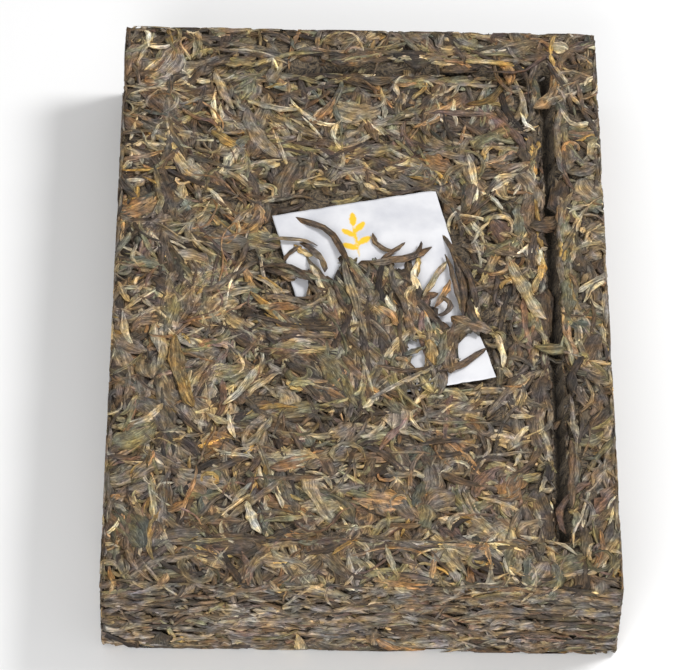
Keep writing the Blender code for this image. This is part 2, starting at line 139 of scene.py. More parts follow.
# Where the paper shows, outlined in the photo's pixels: its far strip, its right strip, two places at
# its near right corner, and small gaps between the leaves
WINDOWS_IN_PHOTO = (
    ((274, 222), (305, 214), (342, 205), (382, 199), (432, 190), (439, 212), (444, 230), (439, 246),
     (420, 250), (404, 254), (380, 254), (366, 259), (350, 253), (338, 243), (310, 236), (279, 239)),
    ((434, 257), (443, 252), (452, 262), (460, 274), (462, 290), (466, 302), (465, 322), (460, 322),
     (456, 300), (454, 308), (444, 319), (450, 306), (440, 286), (424, 291), (420, 275)),
    ((461, 344), (477, 337), (483, 341), (482, 346), (464, 356)),
    ((487, 355), (493, 375), (476, 380), (452, 377), (462, 365)),
    ((282, 246), (293, 247), (292, 256), (284, 255)),
    ((291, 256), (300, 257), (305, 265), (300, 269), (289, 264)),
    ((320, 266), (332, 272), (321, 274)),
    ((313, 245), (325, 248), (325, 255), (316, 252)),
    ((294, 283), (304, 283), (305, 297), (299, 298)),
    ((409, 350), (418, 343), (423, 346), (413, 351)),
    ((412, 363), (425, 358), (423, 366), (414, 366)),
)
# How far in front of a window a leaf on the mat still hides it from the front
WINDOW_REACH = 0.9 * MM

# Leaf colours as they look in even light, and the gain that makes up for the grooves' shade
COLOURS = {
    "charcoal": (74, 62, 52),
    "umber": (96, 79, 63),
    "grey_brown": (117, 104, 89),
    "ash": (140, 128, 116),
    "grey_green": (103, 100, 84),
    "olive": (119, 110, 83),
    "tan": (155, 139, 113),
    "buff": (181, 167, 140),
    "cream": (204, 192, 166),
    "ochre": (160, 130, 78),
    "orange_brown": (138, 107, 76),
    "red_brown": (112, 88, 75),
}
LEAF_GAIN = 1.17


@dataclass
class Kind:
    """A kind of leaf.

    Length, width, thickness and dive, which is how far its ends sink, are ranges in mm. Bend, wiggle
    and hook are spreads in radians. Full says how blunt its ends are. Rings and around are its mesh's.
    """

    length: tuple
    width: tuple
    thick: tuple
    colours: dict
    bend: float = 0.55
    wiggle: float = 0.14
    fold: float = 0.5
    folds: tuple = (1.0, 2.4)
    twist: float = 1.4
    lean: float = 0.18
    full: tuple = (1.7, 5.0)
    hook: float = 0.0
    dive: tuple = (0.2, 1.5)
    contrast: float = 0.26
    rings: int = 9
    around: int = 8


# The colours in each mix of leaves, with their odds
DARK = {"charcoal": 30, "umber": 27, "grey_brown": 25, "grey_green": 7, "red_brown": 5, "olive": 6}
WARM = {"tan": 28, "olive": 19, "grey_brown": 30, "buff": 8, "orange_brown": 8, "ochre": 7}
MIXED = {
    "grey_brown": 30, "olive": 16, "umber": 22, "tan": 16, "grey_green": 9, "orange_brown": 4,
    "red_brown": 3,
}
PALE = {"buff": 34, "cream": 14, "tan": 40, "ochre": 12}
STALK = {"red_brown": 24, "umber": 30, "tan": 34, "orange_brown": 12}
LAYERS = {
    "charcoal": 15, "umber": 22, "grey_brown": 36, "ash": 14, "tan": 7, "red_brown": 5, "olive": 3,
}
DEEP = {"charcoal": 40, "umber": 34, "grey_brown": 18, "olive": 8}

KINDS = {
    "dark_strip": Kind((10, 36), (1.4, 3.4), (0.6, 1.1), DARK, twist=2.8),
    "warm_strip": Kind((8, 30), (1.2, 3.0), (0.6, 1.1), WARM, twist=2.2),
    "blade": Kind((9, 27), (3.2, 7.6), (0.6, 1.2), MIXED, fold=0.85, folds=(1.6, 3.4), twist=0.8, around=10),
    "broad": Kind((11, 24), (7.0, 11.5), (0.5, 0.9), MIXED, fold=0.9, folds=(2.5, 4.5), twist=0.8, lean=0.06,
                  full=(1.8, 3.0), rings=10, around=13),
    "bed": Kind((12, 30), (5.0, 9.0), (0.5, 0.9), DEEP, fold=0.9, folds=(2.0, 4.0), rings=8, around=9),
    "tip": Kind((6, 15), (1.1, 2.3), (0.6, 0.9), PALE, bend=0.55, fold=0.3, full=(1.5, 2.4), dive=(0.0, 0.7),
                rings=8, around=7),
    "stem": Kind((11, 30), (0.7, 1.3), (0.6, 1.0), STALK, bend=0.9, wiggle=0.2, fold=0.1, full=(5.0, 9.0),
                 hook=1.5, rings=12, around=6),
    "curl": Kind((11, 20), (1.1, 2.4), (0.6, 1.0), WARM, bend=1.7, fold=0.4, hook=2.2, rings=12, around=7),
    "crumb": Kind((1.8, 6.5), (1.0, 3.0), (0.4, 0.8), MIXED, dive=(0.0, 0.6), rings=4, around=5),
    "layer": Kind((4, 26), (1.0, 3.6), (0.6, 1.1), LAYERS, bend=0.45, wiggle=0.28, dive=(0.1, 0.7),
                  contrast=0.24, rings=7, around=5),
    "clump": Kind((1.2, 6), (0.6, 2.4), (0.4, 0.9), LAYERS, bend=0.7, dive=(0.0, 0.4), contrast=0.32,
                  rings=5, around=5),
    "under_strip": Kind((12, 36), (2.0, 4.4), (0.6, 1.0), WARM, twist=1.6, full=(2.2, 6.0), dive=(0.1, 0.9),
                        rings=7, around=6),
    "under_blade": Kind((12, 30), (4.5, 9.0), (0.5, 0.9), MIXED, fold=0.7, twist=0.6, full=(2.2, 5.0),
                        dive=(0.1, 0.9), rings=7, around=7),
}

# The leaves that stand out one by one: colour, middle x and y, heading, length, width and bend, in mm
# and degrees. They lie a little proud of the panel, and of the mat.
LARGE_LEAVES = {
    "blade": (
        ("ochre", -59.8, -34.0, -79, 32, 5.4, 10),
        ("grey_brown", -35.3, 75.0, -66, 27, 5.6, 25),
        ("ochre", -47.1, 72.5, -38, 13, 4.2, 10),
        ("tan", 55.5, 6.0, -70, 33, 4.6, 12),
        ("umber", 37.0, -12.2, -24, 15, 4.6, 15),
        ("grey_brown", 34.0, -14.6, -150, 13, 4.4, 10),
        ("umber", 31.0, -17.0, -105, 15, 4.6, -10),
        ("umber", 30.0, -27.5, -98, 14, 4.4, 12),
    ),
    "dark_strip": (
        ("buff", -39.5, -39.5, 57, 22, 3.6, 14),
        ("charcoal", 37.8, -9.0, -80, 16, 3.2, 8),
    ),
    "warm_strip": (
        ("tan", -48.5, 96.0, -71, 20, 3.6, 10),
        ("buff", -31.0, 88.5, -17, 20, 3.0, 20),
        ("ochre", 45.5, 95.5, 33, 20, 3.2, 35),
        ("buff", -46.7, -54.0, -28, 12, 3.2, 20),
        ("buff", -34.0, -59.7, 48, 16, 3.0, 30),
        ("tan", -80.4, -1.0, -68, 10, 2.8, 10),
        ("buff", -78.8, -17.2, -79, 17, 2.8, 15),
        ("orange_brown", 12.3, -122.4, -15, 23, 3.0, 35),
        ("buff", 37.8, 119.2, -27, 13, 2.6, 20),
        ("tan", -66.5, 87.0, 60, 14, 1.8, 40),
        ("olive", 41.0, -11.0, -55, 13, 2.8, 15),
    ),
    "tip": (
        ("buff", -43.0, -56.7, -79, 12, 2.2, 10),
        ("cream", -35.2, -95.6, -72, 14, 3.6, 10),
        ("cream", -24.6, -112.8, -28, 12, 3.0, 30),
        ("buff", 9.5, -113.8, -75, 14, 2.2, 10),
    ),
    "stem": (
        ("red_brown", -56.0, 82.0, -22, 17, 1.5, 30),
    ),
    "curl": (
        ("tan", -53.2, -117.0, -52, 30, 3.2, 120),
        ("tan", -4.0, -68.0, 200, 30, 2.0, 150),
        ("olive", 76.0, -112.0, 30, 26, 2.2, 170),
    ),
}
LARGE_LIFT = 0.5 * MM
MAT_LIFT = 0.6 * MM

# The leaves beside the bare paper, with their colour, their width in mm, and their start, middle and end
# in the photo's pixels, and how high over the paper they lie
TRACED_LEAVES = {
    "blade": (
        ("orange_brown", 3.4, (266, 310), (283, 308), (299, 310)),
        ("tan", 3.4, (343, 262), (351, 292), (360, 322)),
        ("umber", 3.2, (370, 262), (400, 262), (436, 248)),
        ("orange_brown", 2.4, (450, 280), (444, 296), (436, 305)),
        ("ochre", 4.6, (430, 337), (433, 351), (434, 367)),
        ("olive", 3.6, (446, 330), (444, 350), (438, 368)),
    ),
    "dark_strip": (
        ("umber", 2.6, (297, 219), (327, 233), (358, 272)),
        ("umber", 2.4, (258, 272), (290, 268), (317, 285)),
        ("umber", 1.6, (283, 262), (292, 250), (300, 246)),
        ("charcoal", 2.3, (300, 244), (315, 252), (330, 278)),
        ("grey_brown", 2.4, (252, 299), (282, 299), (308, 306)),
        ("umber", 1.9, (334, 284), (341, 304), (352, 323)),
        ("umber", 1.9, (373, 232), (379, 246), (392, 253)),
        ("umber", 1.9, (403, 245), (395, 252), (378, 262)),
        ("charcoal", 1.6, (421, 243), (418, 254), (412, 262)),
        ("umber", 1.8, (445, 256), (455, 283), (462, 316)),
        ("charcoal", 2.8, (441, 236), (459, 268), (468, 324)),
        ("charcoal", 2.4, (452, 256), (470, 280), (478, 310)),
        ("umber", 2.0, (436, 300), (450, 306), (440, 322)),
        ("charcoal", 2.5, (437, 373), (463, 365), (488, 349)),
        ("umber", 1.9, (373, 366), (400, 371), (440, 370)),
        ("grey_green", 2.2, (402, 357), (412, 354), (424, 350)),
    ),
    "warm_strip": (
        ("grey_brown", 1.9, (262, 243), (290, 239), (318, 244)),
        ("tan", 2.2, (447, 262), (434, 280), (423, 298)),
        ("orange_brown", 2.0, (395, 362), (403, 361), (410, 363)),
        ("buff", 2.2, (491, 330), (501, 345), (505, 368)),
    ),
}
TRACED_RISE = 0.8 * MM

# How much of a leaf's thickness the mould pressed flat, the share of it left lower at the edges, and
# the range of depths that it pressed leaves to
PRESSED = 0.3 * MM
PRESSED_RELIEF = 0.35
PRESSED_DEPTHS = (0.0, 0.22)

# A leaf's run: how much its rings crowd to its ends, the most that it turns, times its length over
# its width, its waves, where its hook starts and how much that adds, and where it is widest
RING_CROWDING = 0.35
BEND_LIMIT = 0.4
WIGGLE_LIMIT = 0.04
HOOK_LIMIT = 0.15
WIGGLE_WAVES = 9
HOOK_START = 0.7
HOOK_GAIN = 3
WIDEST = (0.75, 1.35)
PHASES = (0, 6.3)

# A leaf's section: its taper and its narrowest share, its rounding, its flatter back, its grooves, its
# ragged edges' waves and share of its width, its tilt and how its ends dive
TAPER_POWER = 0.6
NARROWEST = 0.14
CROWN_POWER = 0.7
BACK_SHARE = 0.6
GROOVE_POWER = 1.6
RAGGED_WAVES = (8, 22)
RAGGED_SHARE = 0.26
TILT = 1.3 * MM
DIVE_POWER = 2.5

# A leaf's paint: the share of a second tint, two sets of streaks by strength, count across and count
# along, the painted highlight on its ridges and the painted shade in its grooves and at its edges, and
# patches over the brick
SECOND_TINT = 0.45
TINT_WAVES = 5
STREAKS = ((0.16, 9, 3), (0.10, 17, 2))
RIDGE_PAINTED_HIGHLIGHT = 0.22
GROOVE_PAINTED_SHADE = 0.62
EDGE_PAINTED_SHADE = 0.38
PATCH_STRENGTH = 0.13
PATCH_SIZE = 21 * MM
SHADE_RANGE = (0.25, 2.2)

# Factors that turn a cell and a seed into a number that looks random
HASH = (127.1, 311.7, 74.7, 43758.5453)


def linear(colour):
    """A colour given as it looks, from 0 to 255, in the linear values that shaders use."""
    share = np.asarray(colour, dtype=float) / 255
    return np.where(share <= 0.04045, share / 12.92, ((share + 0.055) / 1.055) ** 2.4)


def rise(value, start, end):
    """0 before start and 1 after end, with a smooth climb between them."""
    share = np.clip((value - start) / (end - start), 0, 1)
    return share * share * (3 - 2 * share)


def noise(x, y, cell, seed):
    """Smooth noise from -1 to 1, with bumps about one cell across."""
    column, row = np.floor(x / cell), np.floor(y / cell)
    across = rise(x / cell - column, 0, 1)
    along = rise(y / cell - row, 0, 1)

    def corner(i, j):
        mixed = np.sin(i * HASH[0] + j * HASH[1] + seed * HASH[2]) * HASH[3]
        return 2 * (mixed - np.floor(mixed)) - 1

    near = corner(column, row) * (1 - across) + corner(column + 1, row) * across
    far = corner(column, row + 1) * (1 - across) + corner(column + 1, row + 1) * across
    return near * (1 - along) + far * along


def crevice(x, y, soft=CREVICE_SOFTNESS):
    """1 in the crevice and 0 away from it, with edges that are soft over a distance."""
    wander = CREVICE_WANDER * noise(x, y, 9 * MM, 1)
    coarse = CREVICE_RAGGEDNESS * noise(x, y, 5 * MM, 2)
    fine = CREVICE_FINE_RAGGEDNESS * noise(x, y, 2.5 * MM, 3)
    half_width = CREVICE_HALF_WIDTH + (coarse + fine)
    grown = rise(x, *CREVICE_FADE)
    beside = (y > CREVICE_NEAR_END) & (y < CREVICE_Y + CREVICE_HALF_WIDTH)
    behind = x < CREVICE_X + CREVICE_HALF_WIDTH
    right = np.where(beside, np.abs(x - CREVICE_X - wander), OUT_OF_REACH)
    far = np.where(behind, np.abs(y - CREVICE_Y - wander), OUT_OF_REACH)
    far_width = FAR_NARROWING * half_width * grown
    in_right = 1 - rise(right, half_width - soft, half_width + soft)
    in_far = 1 - rise(far, far_width - soft, far_width + soft)
    return np.maximum(in_right, in_far * FAR_SHALLOWING * grown)


def past_steep_walls(x, y):
    """True for a place on the rim, beyond the middle line of the crevice."""
    return (x > CREVICE_X) | ((y > CREVICE_Y) & (x > CREVICE_FADE[0]))


def pressed_height(x, y, on_rim):
    """The height that the mould pressed the top to. on_rim says that it belongs to the steep rim."""
    left = rise(x, *PANEL_LEFT)
    near = rise(y, *PANEL_NEAR)
    far = np.where(x > CREVICE_FADE[0], 1.0, rise(y, *PANEL_FAR))
    sunk = left * near * far * np.where(on_rim, 0.0, 1.0)
    return TOP - PANEL_DEPTH * sunk - SHOULDER_DEPTH * crevice(x, y, SHOULDER_SOFTNESS)


def in_outline(x, y, outline):
    """True for the places inside an outline."""
    inside = np.zeros(np.shape(x), dtype=bool)
    for (x0, y0), (x1, y1) in zip(outline, np.roll(outline, -1, axis=0)):
        crosses = (y0 > y) != (y1 > y)
        with np.errstate(divide="ignore", invalid="ignore"):
            at = x0 + (y - y0) / (y1 - y0) * (x1 - x0)
        inside ^= crosses & (x < at)
    return inside


def ticket_place(x, y):
    """Where a place lies on the ticket, from -1 to 1 across it and along it."""
    cos, sin = math.cos(TICKET_TURN), math.sin(TICKET_TURN)
    off_x, off_y = x - TICKET_CENTRE[0], y - TICKET_CENTRE[1]
    across = (off_x * cos + off_y * sin) / (TICKET_SIZE[0] / 2)
    along = (off_x * -sin + off_y * cos) / (TICKET_SIZE[1] / 2)
    return across, along


def on_ticket(x, y, share=1.0):
    """True for the places on the ticket, shrunk or grown to a share of its size."""
    across, along = ticket_place(x, y)
    return (np.abs(across) < share) & (np.abs(along) < share)


def camera_turn():
    """The camera's rotation, whose columns are its right, its up and its backward direction."""
    heading = Matrix.Rotation(-CAMERA_HEADING, 3, "Z")
    tilt = Matrix.Rotation(math.pi / 2 - CAMERA_TILT, 3, "X")
    return heading @ tilt @ Matrix.Rotation(CAMERA_ROLL, 3, "Z")


def from_photo(pixels, height):
    """The x and y of places seen at the photo's pixels, at a height over the floor."""
    right, up, backward = (np.array(column) for column in camera_turn().col)
    off = np.array(pixels, dtype=float) - PHOTO_SIZE / 2
    focal = CAMERA_LENS / SENSOR_WIDTH * PHOTO_SIZE[0]
    rays = off[:, :1] * right - off[:, 1:] * up - focal * backward
    reach = (height - CAMERA_PLACE[2]) / rays[:, 2:]
    return (CAMERA_PLACE + reach * rays)[:, :2]


def traced(colour, width, *pixels):
    """A traced leaf's row, as the large leaves are given. Its middle counts twice in its place."""
    start, middle, end = from_photo(pixels, PAPER_HEIGHT + TRACED_RISE) / MM
    first, second, whole = middle - start, end - middle, end - start
    place = (start + 2 * middle + end) / 4
    turn = math.atan2(first[0] * second[1] - first[1] * second[0], first.dot(second))
    heading = math.atan2(whole[1], whole[0])
    length = np.linalg.norm(first) + np.linalg.norm(second)
    return colour, *place, math.degrees(heading), length, width, math.degrees(turn)


WINDOWS = tuple(from_photo(pixels, PAPER_HEIGHT) for pixels in WINDOWS_IN_PHOTO)

# What share of a leaf may lie in the crevice on the far rim and elsewhere, and how many bridge it. What
# share counts as its tip, lies on the mat, or hides bare paper. How neighbours turn together or alone.
CREVICE_SHARES = (0.06, 0.045)
BRIDGING_SHARE = 0.025
TICKET_INSIDE = 0.99
TIP_SHARE = 0.03
MAT_MARGIN = 1.03
MAT_SHARE = 0.7
HIDING_SHARE = 0.01
SHARED_TURN = 1.5 * math.pi
OWN_TURN = 0.6

# The crevice's walls: their middles' depth, how much lower the panel's side is, their half height, and
# how their leaves lie and how much painted shade darkens them
WALL_MIDDLE = 3.4 * MM
WALL_DROP = 1.4 * MM
WALL_HALF = 1.2 * MM
WALL_DEPTHS = (0.0, 0.8)
WALL_TILT = 0.8
RIGHT_WALL_PAINTED_SHADE = 0.75
FAR_WALL_PAINTED_SHADE = 0.5

# Seeds of the random draws for each part of the brick
LARGE_SEED = 7
TOP_SEED = 100
SIDE_SEED = 200
CREVICE_SEED = 300
UNDER_SEED = 400


def bare_paper(x, y):
    """True where the ticket shows."""
    bare = np.zeros(np.shape(x), dtype=bool)
    for outline in WINDOWS:
        bare |= in_outline(x, y, outline)
    return bare


def on_mat_area(x, y):
    """True for the places under the mat: on the ticket and a little past it on the left and near sides."""
    return (in_outline(x, y, MAT_OUTLINE) | on_ticket(x, y, MAT_MARGIN)) & ~bare_paper(x, y)


class Leaves:
    """Many leaves of one kind, shaped in the plane that they are pressed against."""

    def __init__(self, rng, kind, s, t, heading, depth, length=None, width=None, bend=None, colour=None):
        count = len(s)
        self.kind = kind
        self.count = count
        self.length = rng.uniform(*kind.length, count) * MM if length is None else length
        self.width = rng.uniform(*kind.width, count) * MM if width is None else width
        self.bend = rng.normal(0, kind.bend, count) if bend is None else bend
        self.shape(rng, s, t, heading, depth)
        self.paint(rng, colour)

    def shape(self, rng, s, t, heading, depth):
        """Fills s, t and height for every ring and every point around it.

        The turns are held to what a leaf of its width can take without folding over itself.
        """
        kind, count = self.kind, self.count

        def each(values):
            return values[:, None]

        even = np.linspace(0, 1, kind.rings)
        crowded = 0.5 - 0.5 * np.cos(math.pi * even)
        along = ((1 - RING_CROWDING) * even + RING_CROWDING * crowded)[None, :]
        slender = self.length / self.width

        def turned(values, limit):
            return each(np.clip(values, -limit * slender, limit * slender))

        bend = turned(self.bend, BEND_LIMIT)
        wiggle = turned(rng.normal(0, kind.wiggle, count), WIGGLE_LIMIT)
        hook = turned(rng.normal(0, kind.hook, count), HOOK_LIMIT)
        turn = (
            each(heading)
            + bend * (along - 0.5) * 2
            + wiggle * np.sin(WIGGLE_WAVES * along + each(rng.uniform(*PHASES, count)))
            + hook * np.clip(along - HOOK_START, 0, 1) * HOOK_GAIN
        )
        step = each(self.length) * np.diff(along, prepend=0.0)
        spine_s = np.cumsum(np.cos(turn) * step, axis=1)
        spine_t = np.cumsum(np.sin(turn) * step, axis=1)
        self.spine_s = spine_s - spine_s.mean(axis=1, keepdims=True) + each(s)
        self.spine_t = spine_t - spine_t.mean(axis=1, keepdims=True) + each(t)

        skewed = along ** each(rng.uniform(*WIDEST, count))
        full = each(rng.uniform(*kind.full, count))
        taper = np.maximum(1 - np.abs(2 * skewed - 1) ** full, 0) ** TAPER_POWER
        taper = np.maximum(taper, NARROWEST)
        half = each(self.width) / 2 * taper
        thick = each(rng.uniform(*kind.thick, count)) * MM * taper ** TAPER_POWER

        angle = np.linspace(0, math.pi, kind.around - 1)
        across = np.append(-np.cos(angle), 0.0)[None, None, :]
        crown = np.append(np.sin(angle) ** CROWN_POWER, -BACK_SHARE)[None, None, :]
        folds = rng.uniform(*kind.folds, count)[:, None, None]
        phase = rng.uniform(0, 1, count)[:, None, None]
        twist = rng.normal(0, kind.twist, count)[:, None, None]
        wave = np.cos(2 * math.pi * (folds * (across + 1) / 2 + phase + twist * along[..., None]))
        self.groove = (0.5 - 0.5 * wave) ** GROOVE_POWER * np.clip(crown, 0, 1)
        self.across = across + np.zeros_like(wave)
        self.along = along[..., None] + np.zeros_like(wave)

        waves = rng.uniform(*RAGGED_WAVES, (2, count, 1))
        ragged = np.sin(waves * along + rng.uniform(*PHASES, (2, count, 1)))
        ragged = np.where(across < 0, ragged[0][..., None], ragged[1][..., None])
        ragged = 1 + RAGGED_SHARE * np.abs(across) ** 3 * ragged
        side_s, side_t = -np.sin(turn), np.cos(turn)
        reach = half[..., None] * across * ragged
        self.s = self.spine_s[..., None] + side_s[..., None] * reach
        self.t = self.spine_t[..., None] + side_t[..., None] * reach
        tilt = rng.normal(0, TILT, count)[:, None] * (along - 0.5)
        dive = rng.uniform(*kind.dive, count)[:, None] * MM * np.abs(2 * along - 1) ** DIVE_POWER
        lean = rng.normal(0, kind.lean, count)[:, None, None] * reach
        height = thick[..., None] * (crown - 1 - kind.fold * self.groove) + lean
        height = height - each(depth)[..., None] + (tilt - dive)[..., None] + PRESSED
        self.ceiling = rng.uniform(*PRESSED_DEPTHS, count)[:, None, None] * MM
        relief = PRESSED_RELIEF * thick[..., None] * (1 - crown)
        self.height = np.minimum(height, -self.ceiling - relief)

    def paint(self, rng, colour):
        """Gives every point its colour: two tints along the leaf, streaks, and painted light and shade:
        highlights on the ridges, shade in the grooves and at the edges.
        """
        names = list(self.kind.colours)
        odds = np.array([self.kind.colours[name] for name in names], dtype=float)
        tints = np.array([linear(COLOURS[name]) for name in names])
        first = tints[rng.choice(len(names), self.count, p=odds / odds.sum())]
        second = tints[rng.choice(len(names), self.count, p=odds / odds.sum())]
        if colour is not None:
            first = np.array([linear(COLOURS[name]) for name in colour])
        first = first[:, None, None, :]
        second = second[:, None, None, :]
        phase = rng.uniform(*PHASES, (4, self.count))[:, :, None, None]
        share = SECOND_TINT * (0.5 + 0.5 * np.sin(TINT_WAVES * self.along + phase[0])) ** 2
        streak = sum(
            strength * np.sin(wide * self.across + long * self.along + start)
            for (strength, wide, long), start in zip(STREAKS, phase[1:])
        )
        # Painted highlight on the ridges, painted shade in the grooves and at the leaf's edges
        painted_relief_light = RIDGE_PAINTED_HIGHLIGHT - GROOVE_PAINTED_SHADE * self.groove - EDGE_PAINTED_SHADE * np.abs(self.across) ** 5
        middle = self.spine_s.mean(axis=1), self.spine_t.mean(axis=1)
        patch = PATCH_STRENGTH * noise(*middle, PATCH_SIZE, 15)
        level = (rng.normal(1.0, self.kind.contrast, self.count) + patch)[:, None, None]
        shade = np.clip(level * (1 + streak + painted_relief_light), *SHADE_RANGE)[..., None]
        self.colour = (first * (1 - share[..., None]) + second * share[..., None]) * shade * LEAF_GAIN
        seed = rng.uniform(0, 100, self.count)[:, None, None] + np.zeros_like(self.along)
        length = self.length[:, None, None]
        width = self.width[:, None, None]
        self.grain = np.stack([self.across * width / 2, self.along * length, seed * MM], axis=-1)

    def keep(self, wanted):
        """Drops every leaf that isn't wanted."""
        for name in ("spine_s", "spine_t", "s", "t", "height", "colour", "grain"):
            setattr(self, name, getattr(self, name)[wanted])
        self.count = int(wanted.sum())


def hold_in_mould(points):
    """Presses every point near the mould's uneven wall, or past it, into a thin layer inside the wall."""
    x, y, z = np.moveaxis(points, -1, 0)
    short = EDGE_SHORTFALL * (0.5 + 0.5 * noise(x + z, y, 7 * MM, 4))
    radius = EDGE_RADIUS * (1 + EDGE_UNEVENNESS * noise(x, y + z, 11 * MM, 5))
    off = points - CENTRE
    flat = np.abs(np.abs(off) - HALF) < EDGE_RADIUS
    at_edge = flat.sum(axis=-1) > 1
    half = HALF - (short * at_edge)[..., None]
    inner = half - radius[..., None]
    core = np.clip(off, -inner, inner)
    out = off - core
    distance = np.linalg.norm(out, axis=-1)
    past = np.maximum(distance - radius + MOULD_SOFTNESS, 0) / MOULD_SOFTNESS
    pressed = radius - MOULD_SOFTNESS * np.exp(-past)
    scale = np.where(past > 0, pressed / np.maximum(distance, MOULD_SOFTNESS), 1.0)
    return np.clip(CENTRE + core + out * scale[..., None], LOW, HIGH)


def placed(name, data):
    """A new object in the scene."""
    item = bpy.data.objects.new(name, data)
    bpy.context.scene.collection.objects.link(item)
    return item


def joined(name, points, colour, grain):
    """One mesh object from an array of closed strips: points[leaf, ring, around]."""
    count, rings, around = points.shape[:3]
    index = np.arange(count * rings * around).reshape(count, rings, around)
    turned = np.roll(index, -1, axis=2)
    quads = np.stack([index[:, :-1], index[:, 1:], turned[:, 1:], turned[:, :-1]], axis=-1).reshape(-1, 4)
    start_caps = index[:, 0]
    end_caps = index[:, -1, ::-1]
    corners = np.concatenate([quads.ravel(), start_caps.ravel(), end_caps.ravel()])
    sizes = np.concatenate([np.full(len(quads), 4), np.full(2 * count, around)])
    mesh = bpy.data.meshes.new(name)
    mesh.vertices.add(index.size)
    mesh.vertices.foreach_set("co", points.astype(np.float32).ravel())
    mesh.loops.add(len(corners))
    mesh.loops.foreach_set("vertex_index", corners.astype(np.int32))
    mesh.polygons.add(len(sizes))
    mesh.polygons.foreach_set("loop_start", (np.cumsum(sizes) - sizes).astype(np.int32))
    mesh.update(calc_edges=True)
    mesh.validate()
    tint = mesh.attributes.new("tint", "FLOAT_COLOR", "POINT")
    opaque = np.concatenate([colour, np.ones(colour.shape[:-1] + (1,))], axis=-1)
    tint.data.foreach_set("color", opaque.astype(np.float32).ravel())
    fibres = mesh.attributes.new("grain", "FLOAT_VECTOR", "POINT")
    fibres.data.foreach_set("vector", grain.astype(np.float32).ravel())
    mesh.shade_smooth()
    return placed(name, mesh)


def grid(half_x, half_y, columns, rows):
    """The x and y of an even grid's points."""
    return np.meshgrid(np.linspace(-half_x, half_x, columns + 1), np.linspace(-half_y, half_y, rows + 1))


def sheet(name, x, y, top, bottom, attribute, values):
    """A closed mesh between a grid's upper and lower heights, with a value at each point."""
    points = [np.stack([x, y, z], axis=-1).reshape(-1, 3) for z in (top, bottom)]
    layer = x.size
    index = np.arange(layer).reshape(x.shape)
    cells = np.stack([index[:-1, :-1], index[:-1, 1:], index[1:, 1:], index[1:, :-1]], axis=-1)
    cells = cells.reshape(-1, 4)
    around = np.concatenate([index[0, :-1], index[:-1, -1], index[-1, :0:-1], index[:0:-1, 0]])
    ahead = np.roll(around, -1)
    walls = np.stack([around, around + layer, ahead + layer, ahead], axis=-1)
    faces = np.concatenate([cells, cells[:, ::-1] + layer, walls])
    mesh = bpy.data.meshes.new(name)
    mesh.from_pydata(np.concatenate(points).tolist(), [], faces.tolist())
    layer_values = mesh.attributes.new(attribute, "FLOAT", "POINT")
    layer_values.data.foreach_set("value", np.concatenate(values).astype(np.float32).ravel())
    mesh.shade_smooth()
    return placed(name, mesh)


def tea_piece(piece, look):
    piece.data.materials.append(look)
    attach(piece, "root")
    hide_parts("tea_brick")


def scatter(rng, kind, count, half_s, half_t, depth, tilt=None):
    """Leaves spread over a plane. Neighbours tend to lie the same way, unless tilt holds them level."""
    s = rng.uniform(-half_s, half_s, count)
    t = rng.uniform(-half_t, half_t, count)
    if tilt is None:
        heading = SHARED_TURN * noise(s, t, 19 * MM, 6) + rng.normal(0, OWN_TURN, count)
    else:
        heading = rng.normal(0, tilt, count)
    heading = heading + math.pi * rng.integers(0, 2, count)
    return Leaves(rng, kind, s, t, heading, rng.uniform(*depth, count) * MM)


def bent_over(place, height, half):
    """Bends what reaches past a face's edge round it: its new place, and its height over the face."""
    flat = half - EDGE_RADIUS
    over = np.maximum(np.abs(place) - flat, 0)
    angle = np.minimum(over / EDGE_RADIUS, math.pi / 2)
    beyond = np.maximum(over - EDGE_RADIUS * math.pi / 2, 0)
    reach = np.minimum(np.abs(place), flat) + (EDGE_RADIUS + height) * np.sin(angle)
    return np.sign(place) * reach, (EDGE_RADIUS + height) * np.cos(angle) - EDGE_RADIUS - beyond


def wrapped(s, t, height, half_s, half_t):
    """Bends leaves on a flat face over whichever of its edges they reach further past."""
    bent_s, fallen_s = bent_over(s, height, half_s)
    bent_t, fallen_t = bent_over(t, height, half_t)
    over_s = np.abs(s) - half_s > np.abs(t) - half_t
    return np.where(over_s, bent_s, s), np.where(over_s, t, bent_t), np.where(over_s, fallen_s, fallen_t)


def on_top(leaves):
    """Carries leaves to the brick's top face, where they follow its rim, walls and panel."""
    on_rim = past_steep_walls(leaves.spine_s.mean(axis=1), leaves.spine_t.mean(axis=1))[:, None, None]
    x, y, height = wrapped(leaves.s, leaves.t, leaves.height, HALF[0], HALF[1])
    z = pressed_height(leaves.s, leaves.t, on_rim) + height
    return hold_in_mould(np.stack([x, y, z], axis=-1))


def on_mat(leaves):
    """Carries leaves to the low mound over the ticket."""
    x, y = leaves.s, leaves.t
    middle = MAT_OUTLINE.mean(axis=0)
    away = np.hypot(x - middle[0], y - middle[1])
    past_mat = rise(ticket_place(x, y)[1], *MAT_END)
    mound = MAT_RISE * (1 - MAT_SLOPE_SHARE * rise(away, *MAT_SLOPE)) * (1 - past_mat)
    return np.stack([x, y, TOP - PANEL_DEPTH + mound + leaves.height], axis=-1)


def on_plane(leaves, origin, s_axis, t_axis, half_s=math.inf, half_t=math.inf):
    """Carries leaves to a flat face, whose outward side is s_axis x t_axis, and round its edges."""
    s_axis, t_axis = np.array(s_axis, dtype=float), np.array(t_axis, dtype=float)
    out = np.cross(s_axis, t_axis)
    s, t, height = wrapped(leaves.s, leaves.t, leaves.height, half_s, half_t)
    place = np.array(origin) + s[..., None] * s_axis + t[..., None] * t_axis + height[..., None] * out
    return hold_in_mould(place)


def clear_of_crevice(rng, leaves):
    """True for each leaf that keeps out of the crevice but for an end, and for a few that bridge it."""
    inside = (crevice(leaves.s, leaves.t) > 0.5).mean(axis=(1, 2))
    allowed = np.where(leaves.spine_t.mean(axis=1) > CREVICE_Y, *CREVICE_SHARES)
    return (inside < allowed) | (rng.uniform(0, 1, leaves.count) < BRIDGING_SHARE)


